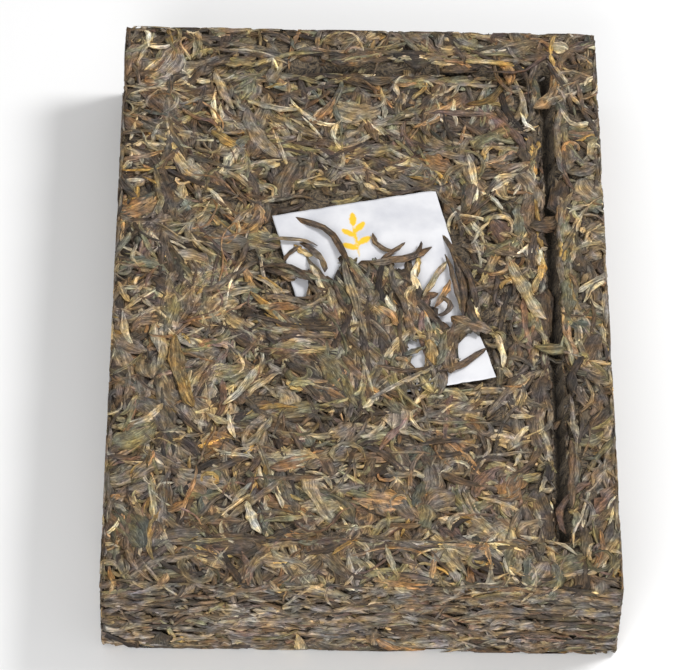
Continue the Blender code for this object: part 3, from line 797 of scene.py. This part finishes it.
def clear_of_corners(leaves, half_s, half_t):
    """True for each leaf that isn't past two edges of its face at once."""
    past_s = np.abs(leaves.s) > half_s + CORNER_REACH
    past_t = np.abs(leaves.t) > half_t + CORNER_REACH
    return ~(past_s & past_t).any(axis=(1, 2))


def clear_of_paper(leaves):
    """True for each leaf that stays off the ticket but for its tip, or lies deep enough to pass under it."""
    over = on_ticket(leaves.s, leaves.t, TICKET_INSIDE).mean(axis=(1, 2)) > TIP_SHARE
    top = leaves.height.max(axis=(1, 2))
    return ~over | (top < -(TICKET_SINK + TICKET_DIP))


def over_mat(leaves):
    """True for each leaf that lies on the mat and covers no bare paper but with its tip."""
    within = on_mat_area(leaves.spine_s, leaves.spine_t).mean(axis=1) > MAT_SHARE
    s, t = (
        np.concatenate([rings, (rings[:, 1:] + rings[:, :-1]) / 2], axis=1) for rings in (leaves.s, leaves.t)
    )
    hiding = bare_paper(s, t) | bare_paper(s, t + WINDOW_REACH)
    return within & (hiding.mean(axis=(1, 2)) < HIDING_SHARE)


# The top's leaves by kind: how many lie all over it, on the mat and along the panel's edges, and the
# depths in mm of those all over it
TOP_LEAVES = {
    "bed": (470, 320, 70, (1.0, 2.0)),
    "broad": (95, 0, 0, (0.0, 0.8)),
    "dark_strip": (960, 620, 200, (0.0, 1.4)),
    "warm_strip": (700, 360, 180, (0.0, 1.3)),
    "blade": (580, 90, 0, (0.0, 1.4)),
    "curl": (200, 60, 0, (0.0, 0.6)),
    "tip": (170, 60, 0, (0.0, 0.4)),
    "stem": (150, 60, 0, (0.0, 0.5)),
    "crumb": (1000, 110, 0, (0.1, 1.3)),
}
EDGE_OVERHANG = 1.5 * MM

# How many layers and clumps show on an end and on a flank, how many leaves of each kind lie underneath,
# how all these lie, and the painted shade that darkens the layers and clumps on the sides
LAYER_COUNTS = {"end": (600, 300), "flank": (860, 420)}
UNDER_COUNTS = {"under_strip": 1230, "under_blade": 520}
LAYER_MARGIN = 0.7 * MM
LAYER_TILT = 0.24
CLUMP_TILT = 0.6
SIDE_PAINTED_SHADE = 0.92
UNDER_DEPTHS = (0.0, 1.2)
SIDE_DEPTHS = (0.0, 1.0)

# How much the mat's leaves differ from the panel's, the painted shade on the mat's bed leaves, where they
# lie, and how they turn across it
MAT_WIDENING = 1.25
MAT_LENGTHENING = 1.2
MAT_CONTRAST = 0.24
MAT_SHADES = (0.6, 1.6)
MAT_BED_PAINTED_SHADE = 0.8
MAT_RELIEF = 0.9 * MM
MAT_DEPTH = 0.9
MAT_BED_DEPTH = 1.3
MAT_SPAN_X = (-42, 46)
MAT_SPAN_Y = (-54, 32)
MAT_HEADING = -15
MAT_TURN = -65
MAT_TURN_PLACE = (-24 * MM, -8 * MM)
MAT_SPREAD = 0.42

# The leaves along the edges, in this order: the panel's near edge, both sides of the far crevice, the
# panel's left edge, both sides of the right crevice. The share on each and how far off its line they
# lie, the start and the run in mm of the near, far and side edges, and how they spread and turn.
EDGE_SHARES = (0.12, 0.13, 0.19, 0.08, 0.24, 0.24)
EDGE_INSETS = np.array((1.0, 2.0, 1.3, 2.0, 2.7, 2.5)) * MM
EDGE_SPANS = ((-62, 120), (-46, 106), (-102, 205))
EDGE_SPREAD = 1.2
EDGE_BACKING = 1.7
EDGE_TURN = 0.22
EDGE_DEPTHS = (0, 0.3)


def scatter_on_mat(rng, kind, count):
    """Leaves over the ticket. They run across it on the left and along it elsewhere."""
    s = rng.uniform(*MAT_SPAN_X, count) * MM
    t = rng.uniform(*MAT_SPAN_Y, count) * MM
    turn = MAT_HEADING + MAT_TURN * rise(s, *MAT_TURN_PLACE)
    heading = np.radians(turn) + rng.normal(0, MAT_SPREAD, count)
    heading = heading + math.pi * rng.integers(0, 2, count)
    deepest = MAT_BED_DEPTH if kind is KINDS["bed"] else MAT_DEPTH
    depth = rng.uniform(deepest - MAT_DEPTH, deepest, count) * MM
    length = MAT_LENGTHENING * rng.uniform(*kind.length, count) * MM
    width = MAT_WIDENING * rng.uniform(*kind.width, count) * MM
    leaves = Leaves(rng, kind, s, t, heading, depth, length=length, width=width)
    if kind is KINDS["bed"]:
        # Painted shade on the mat's lowest bed leaves
        leaves.colour = leaves.colour * MAT_BED_PAINTED_SHADE
    else:
        leaves.height = leaves.height + rng.uniform(0, MAT_RELIEF, count)[:, None, None]
        shade = rng.normal(1.0, MAT_CONTRAST, count).clip(*MAT_SHADES)
        leaves.colour = leaves.colour * shade[:, None, None, None]
    leaves.keep(over_mat(leaves))
    return leaves


def scatter_on_edges(rng, kind, count):
    """Leaves that lie along the panel's edges and the crevice's, where the mould folded them."""
    edge = rng.choice(len(EDGE_SHARES), count, p=EDGE_SHARES)
    along = rng.uniform(0, 1, count)
    offset = rng.normal(0, EDGE_SPREAD, count) * MM
    back = EDGE_BACKING * np.abs(offset)
    inset = EDGE_INSETS
    near_x, far_x, side_y = (start * MM + along * run * MM for start, run in EDGE_SPANS)
    near_y = PANEL_NEAR[0] + inset[0] + offset
    far_y = (CREVICE_Y - inset[1] - back, CREVICE_Y + inset[2] + back)
    left_x = PANEL_LEFT[0] + inset[3] + offset
    right_x = (CREVICE_X - inset[4] - back, CREVICE_X + inset[5] + back)
    s = np.choose(edge, (near_x, far_x, far_x, left_x, *right_x))
    t = np.choose(edge, (near_y, *far_y, side_y, side_y, side_y))
    heading = np.where(edge < 3, 0, math.pi / 2) + rng.normal(0, EDGE_TURN, count)
    leaves = Leaves(rng, kind, s, t, heading, rng.uniform(*EDGE_DEPTHS, count) * MM)
    leaves.keep(clear_of_crevice(rng, leaves))
    return leaves


def make_top(look):
    for order, (name, row) in enumerate(TOP_LEAVES.items()):
        everywhere, over_ticket, at_edges, depths = row
        rng = np.random.default_rng(TOP_SEED + order)
        kind = KINDS[name]
        leaves = scatter(rng, kind, everywhere, *(HALF[:2] + EDGE_OVERHANG), depths)
        free = clear_of_crevice(rng, leaves) & clear_of_corners(leaves, HALF[0], HALF[1])
        leaves.keep(free & clear_of_paper(leaves))
        parts = [(on_top(leaves), leaves.colour, leaves.grain)]
        if over_ticket:
            leaves = scatter_on_mat(rng, kind, over_ticket)
            parts.append((on_mat(leaves), leaves.colour, leaves.grain))
        if at_edges:
            leaves = scatter_on_edges(rng, kind, at_edges)
            parts.append((on_top(leaves), leaves.colour, leaves.grain))
        tea_piece(joined(f"top_{name}s", *map(np.concatenate, zip(*parts))), look)


def make_large_leaves(look):
    rng = np.random.default_rng(LARGE_SEED)
    for name, placed_leaves in LARGE_LEAVES.items():
        rows = [*placed_leaves, *(traced(*leaf) for leaf in TRACED_LEAVES.get(name, ()))]
        x, y, heading, length, width, bend = np.array([row[1:] for row in rows], dtype=float).T
        leaves = Leaves(
            rng, KINDS[name], x * MM, y * MM, np.radians(heading), np.zeros(len(x)),
            length * MM, width * MM, np.radians(bend), [row[0] for row in rows],
        )
        place = x * MM, y * MM
        on_rim = past_steep_walls(*place)[:, None, None]
        sunk = (TOP - pressed_height(leaves.s, leaves.t, on_rim)) / PANEL_DEPTH
        covering = on_mat_area(*place)
        over = covering | bare_paper(*place)
        lift = LARGE_LIFT * np.clip(sunk, 0, 1) + MAT_LIFT * covering[:, None, None]
        leaves.height = leaves.height + leaves.ceiling + lift
        points = np.where(over[:, None, None, None], on_mat(leaves), on_top(leaves))
        tea_piece(joined(f"large_{name}s", points, leaves.colour, leaves.grain), look)


def make_sides(look):
    middle = CENTRE[2]
    ends, flanks = LAYER_COUNTS["end"], LAYER_COUNTS["flank"]
    faces = {
        "near": ((0, LOW[1], middle), (1, 0, 0), HALF[0], ends),
        "far": ((0, HIGH[1], middle), (-1, 0, 0), HALF[0], ends),
        "right": ((HIGH[0], 0, middle), (0, 1, 0), HALF[1], flanks),
        "left": ((LOW[0], 0, middle), (0, -1, 0), HALF[1], flanks),
    }
    for order, (side, (origin, s_axis, half_s, counts)) in enumerate(faces.items()):
        rng = np.random.default_rng(SIDE_SEED + order)
        for name, count, tilt in (("layer", counts[0], LAYER_TILT), ("clump", counts[1], CLUMP_TILT)):
            half_t = HALF[2] - LAYER_MARGIN
            leaves = scatter(rng, KINDS[name], count, half_s, half_t, SIDE_DEPTHS, tilt=tilt)
            leaves.keep(clear_of_corners(leaves, half_s, HALF[2]))
            points = on_plane(leaves, origin, s_axis, (0, 0, 1), half_s)
            # The sides' leaves are darkened with painted shade
            tea_piece(joined(f"{side}_{name}s", points, SIDE_PAINTED_SHADE * leaves.colour, leaves.grain), look)


def make_crevice_walls(look):
    """Leaf ends that line the steep walls on the rim's side and on the panel's, darkened with painted shade.
    """
    rng = np.random.default_rng(CREVICE_SEED)
    right_middle = (CREVICE_Y + CREVICE_NEAR_END) / 2
    right_half = (CREVICE_Y - CREVICE_NEAR_END) / 2
    far_middle = (CREVICE_X + CREVICE_FADE[0]) / 2
    far_half = (CREVICE_X - CREVICE_FADE[0]) / 2
    far_width = (1 + FAR_NARROWING) / 2 * CREVICE_HALF_WIDTH
    high = TOP - WALL_MIDDLE
    low = high - WALL_DROP
    walls = (
        ((CREVICE_X + CREVICE_HALF_WIDTH, right_middle, high), (0, -1, 0), right_half, 200, RIGHT_WALL_PAINTED_SHADE),
        ((CREVICE_X - CREVICE_HALF_WIDTH, right_middle, low), (0, 1, 0), right_half, 110, RIGHT_WALL_PAINTED_SHADE),
        ((far_middle, CREVICE_Y + far_width, high), (1, 0, 0), far_half, 120, FAR_WALL_PAINTED_SHADE),
        ((far_middle, CREVICE_Y - far_width, low), (-1, 0, 0), far_half, 60, FAR_WALL_PAINTED_SHADE),
    )
    parts = []
    for origin, s_axis, half_s, count, shade in walls:
        leaves = scatter(rng, KINDS["clump"], count, half_s, WALL_HALF, WALL_DEPTHS, tilt=WALL_TILT)
        # The wall's leaves are darkened with painted shade
        parts.append((on_plane(leaves, origin, s_axis, (0, 0, 1)), leaves.colour * shade, leaves.grain))
    tea_piece(joined("crevice_layers", *map(np.concatenate, zip(*parts))), look)


def make_underside(look):
    for order, (name, count) in enumerate(UNDER_COUNTS.items()):
        rng = np.random.default_rng(UNDER_SEED + order)
        leaves = scatter(rng, KINDS[name], count, HALF[0], HALF[1], UNDER_DEPTHS)
        leaves.keep(clear_of_corners(leaves, HALF[0], HALF[1]))
        points = on_plane(leaves, (0, 0, LOW[2]), (1, 0, 0), (0, -1, 0), HALF[0], HALF[1])
        tea_piece(joined(f"{name}s", points, leaves.colour, leaves.grain), look)


def make_core(look):
    """The dark mass of leaves that shows only in the gaps: a bumpy block inside the leaves, darkened with
    painted shade in the crevice.
    """
    inner = HALF - CORE_INSET
    columns = int(2 * inner[0] / CORE_CELL)
    rows = int(2 * inner[1] / CORE_CELL)
    x, y = grid(inner[0], inner[1], columns, rows)
    bumps = CORE_BUMP * noise(x, y, 3.2 * MM, 7) + CORE_FINE_BUMP * noise(x, y, 1.6 * MM, 8)
    top = pressed_height(x, y, past_steep_walls(x, y)) - CORE_INSET + bumps
    top = top - CREVICE_DEPTH * crevice(x, y) - CORE_SINK * on_ticket(x, y)
    bottom = LOW[2] + CORE_INSET + CORE_BUMP * noise(x, y, 3.0 * MM, 9)
    # Painted shade: the core's colour is darkened in the crevice
    painted_crevice_shade = 1 - CREVICE_PAINTED_SHADE * crevice(x, y, SHOULDER_SOFTNESS)
    tea_piece(sheet("leaf_core", x, y, top, bottom, "shade", (painted_crevice_shade, np.ones_like(painted_crevice_shade))), look)


# The sprig's stem and leaves on the ticket, in mm from its middle: both ends and the half width
SPRIG = (
    (-3.6, 18.5, -2.6, 34.0, 0.5),
    (-3.3, 22.0, -8.4, 25.4, 1.3),
    (-3.1, 24.2, 2.2, 26.6, 1.3),
    (-2.9, 27.6, -7.0, 32.2, 1.2),
    (-2.8, 29.6, 1.6, 33.8, 1.2),
    (-2.6, 32.4, -1.6, 39.0, 1.2),
)
STROKE_POWER = 0.7
FAR_FROM_SPRIG = 100.0


def sprig_distance(u, v):
    """Distance in mm outside a leaf sprig painted in pointed strokes, at a place on the ticket."""
    nearest = np.full(u.shape, FAR_FROM_SPRIG)
    for u0, v0, u1, v1, half_width in SPRIG:
        run = np.array((u1 - u0, v1 - v0))
        share = np.clip(((u - u0) * run[0] + (v - v0) * run[1]) / run.dot(run), 0, 1)
        apart = np.hypot(u - u0 - share * run[0], v - v0 - share * run[1])
        nearest = np.minimum(nearest, apart - half_width * (4 * share * (1 - share)) ** STROKE_POWER)
    return nearest


def make_ticket(look):
    """The paper: one wavy sheet that dips under the mat, with both sides and its edges."""
    across, along = grid(1, 1, *TICKET_CELLS)
    dip = np.exp(-(((along - TICKET_DIP_MIDDLE) / TICKET_DIP_REACH) ** 2))
    drawn_in = TICKET_WAIST * dip * (1 + across) / 2
    edge_x = TICKET_EDGE_NOISE * noise(along * 30 * MM, along * 0, 2 * MM, 10) * across
    edge_y = TICKET_EDGE_NOISE * noise(across * 30 * MM, across * 0, 2 * MM, 11) * along
    u = across * TICKET_SIZE[0] / 2 - drawn_in + edge_x
    v = along * TICKET_SIZE[1] / 2 + edge_y
    cos, sin = math.cos(TICKET_TURN), math.sin(TICKET_TURN)
    x = TICKET_CENTRE[0] + u * cos - v * sin
    y = TICKET_CENTRE[1] + u * sin + v * cos
    wave = TICKET_WAVE * (np.sin(2.6 * across + 1.1 * along) + 0.8 * np.sin(4.0 * along - across))
    crinkle = TICKET_CRINKLE * noise(x, y, 6.5 * MM, 12)
    crinkle = crinkle + TICKET_FINE_CRINKLE * noise(x, y, 2.6 * MM, 13)
    z = PAPER_HEIGHT - TICKET_DIP * dip + wave + crinkle
    ink = sprig_distance(u / MM, v / MM)
    piece = sheet("ticket_sheet", x, y, z, z - TICKET_THICKNESS, "ink", (ink, ink))
    piece.data.materials.append(look)
    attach(piece, "root")
    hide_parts("paper_ticket")


class Look:
    """A material, with short calls that add nodes to it and give back their outputs."""

    def __init__(self, name, roughness, specular=0.5):
        self.material = bpy.data.materials.new(name)
        self.material.use_nodes = True
        self.tree = self.material.node_tree
        self.shader = self.tree.nodes["Principled BSDF"]
        self.fill(self.shader, {"Roughness": roughness, "Specular IOR Level": specular})

    def fill(self, made, inputs):
        """Links a node's inputs to other nodes' outputs, or sets them to values."""
        for name, value in inputs.items():
            if isinstance(value, bpy.types.NodeSocket):
                self.tree.links.new(value, made.inputs[name])
            else:
                made.inputs[name].default_value = value

    def node(self, kind, inputs, **settings):
        made = self.tree.nodes.new("ShaderNode" + kind)
        for name, value in settings.items():
            setattr(made, name, value)
        self.fill(made, inputs)
        return made.outputs

    def attribute(self, name, output="Fac"):
        return self.node("Attribute", {}, attribute_name=name)[output]

    def position(self):
        return self.node("TexCoord", {})["Object"]

    def stretched(self, vector, scale):
        return self.node("Mapping", {"Vector": vector, "Scale": scale})["Vector"]

    def noise(self, vector, scale, detail, roughness=0.5, distortion=0.0):
        inputs = {"Vector": vector, "Scale": scale, "Detail": detail}
        inputs.update({"Roughness": roughness, "Distortion": distortion})
        return self.node("TexNoise", inputs)

    def ranged(self, value, low, high, start, end):
        """Carries a value from low..high to start..end."""
        inputs = {"Value": value, "From Min": low, "From Max": high, "To Min": start, "To Max": end}
        return self.node("MapRange", inputs)["Result"]

    def ramp(self, value, low, low_colour, high, high_colour):
        """The colour for a value, between a colour at low and one at high."""
        made = self.tree.nodes.new("ShaderNodeValToRGB")
        stops = ((low, low_colour), (high, high_colour))
        for stop, (place, colour) in zip(made.color_ramp.elements, stops):
            stop.position = place
            stop.color = (*colour, 1)
        self.fill(made, {"Fac": value})
        return made.outputs["Color"]

    def math(self, operation, *values):
        return self.node("Math", dict(enumerate(values)), operation=operation)["Value"]

    def vector(self, operation, *values):
        return self.node("VectorMath", dict(enumerate(values)), operation=operation)["Vector"]

    def scaled(self, vector, scale):
        inputs = {0: vector, "Scale": scale}
        return self.node("VectorMath", inputs, operation="SCALE")["Vector"]

    def bump(self, height, distance, strength=1.0, **normal):
        inputs = {"Height": height, "Distance": distance, "Strength": strength, **normal}
        return self.node("Bump", inputs)["Normal"]

    def finished(self, colour, normal):
        self.fill(self.shader, {"Base Color": colour, "Normal": normal})
        return self.material


def leaf_look():
    """Dry leaf: its own tint, with fibres along it, mottling, stains, crumples and a dull waxy shine.
    The fibres' creases get painted shade, and the crumples painted light on top and painted shade in
    their hollows.
    """
    look = Look("dry_leaf", roughness=0.5, specular=0.4)
    place = look.position()
    grain = look.attribute("grain", "Vector")
    lengthwise = look.stretched(grain, (2300.0, 190.0, 1000.0))
    fibres = look.noise(lengthwise, 1.0, 3.0, roughness=0.6, distortion=0.4)["Fac"]
    apart = look.math("ABSOLUTE", look.math("SUBTRACT", fibres, 0.47))
    # Painted shade darkens the fibres' creases, where the bump below sinks
    crease_painted_shade = look.ranged(apart, 0.0, 0.035, 0.58, 1.0)
    lighter = look.ranged(fibres, 0.34, 0.66, 0.66, 1.46)
    streaked = look.math("MULTIPLY", crease_painted_shade, lighter)
    patches = look.noise(place, 330.0, 3.0)["Fac"]
    hues = look.ramp(patches, 0.36, (0.76, 0.73, 0.70), 0.64, (1.20, 1.16, 1.06))
    mottled = look.vector("MULTIPLY", look.attribute("tint", "Color"), hues)
    stains = look.noise(place, 210.0, 4.0)
    stain = look.vector("MULTIPLY_ADD", stains["Color"], (0.40, 0.30, 0.50), (0.80, 0.85, 0.75))
    warmth = look.ramp(stains["Fac"], 0.38, (0.92, 1.00, 1.24), 0.62, (1.06, 1.00, 0.74))
    stained = look.vector("MULTIPLY", mottled, look.vector("MULTIPLY", stain, warmth))
    crumples = look.noise(look.stretched(grain, (900.0, 380.0, 1000.0)), 1.0, 2.0, distortion=1.0)["Fac"]
    # Painted light and shade: lighter where the crumples' bump rises and darker in its hollows
    streaks_and_crumple_shade = look.math("MULTIPLY", streaked, look.ranged(crumples, 0.34, 0.62, 0.64, 1.28))
    look.fill(look.shader, {"Roughness": look.ranged(fibres, 0.34, 0.66, 0.75, 0.5)})
    folds = look.bump(crumples, 0.6 * MM)
    return look.finished(look.scaled(stained, streaks_and_crumple_shade), look.bump(streaked, 0.18 * MM, Normal=folds))


def core_look():
    """The dark mass of leaves inside the brick: patches of fibres that lie every way. Its dark colour is
    partly the inner leaves' own and partly painted shade for the gaps that it shows through.
    """
    look = Look("dark_core", roughness=0.8)
    place = look.position()
    pieces = look.node("TexVoronoi", {"Vector": place, "Scale": 300.0})["Color"]
    inputs = {"Vector": place, "Rotation": look.scaled(pieces, 6.3)}
    turned = look.node("VectorRotate", inputs, rotation_type="EULER_XYZ")["Vector"]
    fibres = look.noise(look.stretched(turned, (2400.0, 260.0, 900.0)), 1.0, 3.0)["Fac"]
    # Near black to brown: partly the inner leaves' colour, partly painted shade for the gaps between leaves
    colour = look.ramp(fibres, 0.36, linear((36, 31, 28)), 0.68, linear((120, 104, 82)))
    # The shade attribute is painted shade that darkens the core in the crevice
    return look.finished(look.scaled(colour, look.attribute("shade")), look.bump(fibres, 0.5 * MM))


def paper_look():
    """Thin white paper with faint fibres and a yellow brush-painted sprig."""
    look = Look("white_paper", roughness=0.62)
    place = look.position()
    cloud = look.noise(place, 90.0, 5.0)["Fac"]
    white = look.ramp(cloud, 0.3, linear((200, 201, 207)), 0.62, linear((224, 224, 227)))
    bristles = look.noise(place, 900.0, 2.0)["Fac"]
    ragged = look.math("MULTIPLY_ADD", bristles, 0.9, look.attribute("ink"))
    cover = look.ranged(ragged, 0.2, 0.75, 1.0, 0.0)
    mix = look.tree.nodes.new("ShaderNodeMix")
    mix.data_type = "RGBA"
    paper, paint = (index for index, socket in enumerate(mix.inputs) if socket.type == "RGBA")
    look.fill(mix, {"Factor": cover, paper: white, paint: (*linear((240, 196, 42)), 1)})
    painted = next(socket for socket in mix.outputs if socket.type == "RGBA")
    return look.finished(painted, look.bump(cloud, 0.08 * MM, strength=0.4))


FLOOR_HALF = 2.5


def make_floor():
    look = Look("pale_floor", roughness=0.9, specular=0.1)
    look.fill(look.shader, {"Base Color": (0.90, 0.90, 0.90, 1)})
    mesh = bpy.data.meshes.new("studio_floor")
    corners = [(x * FLOOR_HALF, y * FLOOR_HALF, 0) for x, y in ((-1, -1), (1, -1), (1, 1), (-1, 1))]
    mesh.from_pydata(corners, [], [(0, 1, 2, 3)])
    mesh.materials.append(look.material)
    floor = placed("studio_floor", mesh)
    floor.location.z = LOW[2]


def area_light(name, place, aim, size, power):
    data = bpy.data.lights.new(name, "AREA")
    data.shape = "DISK"
    data.size = size
    data.energy = power
    light = placed(name, data)
    light.location = place
    light.rotation_euler = (Vector(aim) - Vector(place)).to_track_quat("-Z", "Y").to_euler()


def make_light():
    world = bpy.data.worlds.new("studio")
    world.use_nodes = True
    background = world.node_tree.nodes["Background"]
    background.inputs["Color"].default_value = (1.0, 1.0, 1.0, 1)
    background.inputs["Strength"].default_value = 0.44
    bpy.context.scene.world = world
    area_light("key", (0.80, 0.30, 0.95), (0, 0, 0), 0.45, 11.5)
    area_light("fill", (-0.30, -1.1, 0.55), (0, 0, 0), 0.9, 12.0)
    bpy.context.scene.view_settings.view_transform = "Standard"


def make_camera():
    data = bpy.data.cameras.new("camera")
    data.lens = CAMERA_LENS
    data.sensor_width = SENSOR_WIDTH
    camera = placed("camera", data)
    camera.matrix_world = Matrix.Translation(CAMERA_PLACE) @ camera_turn().to_4x4()
    bpy.context.scene.camera = camera


leaf = leaf_look()
make_core(core_look())
make_top(leaf)
make_large_leaves(leaf)
make_sides(leaf)
make_crevice_walls(leaf)
make_underside(leaf)
make_ticket(paper_look())
make_floor()
make_light()
make_camera()
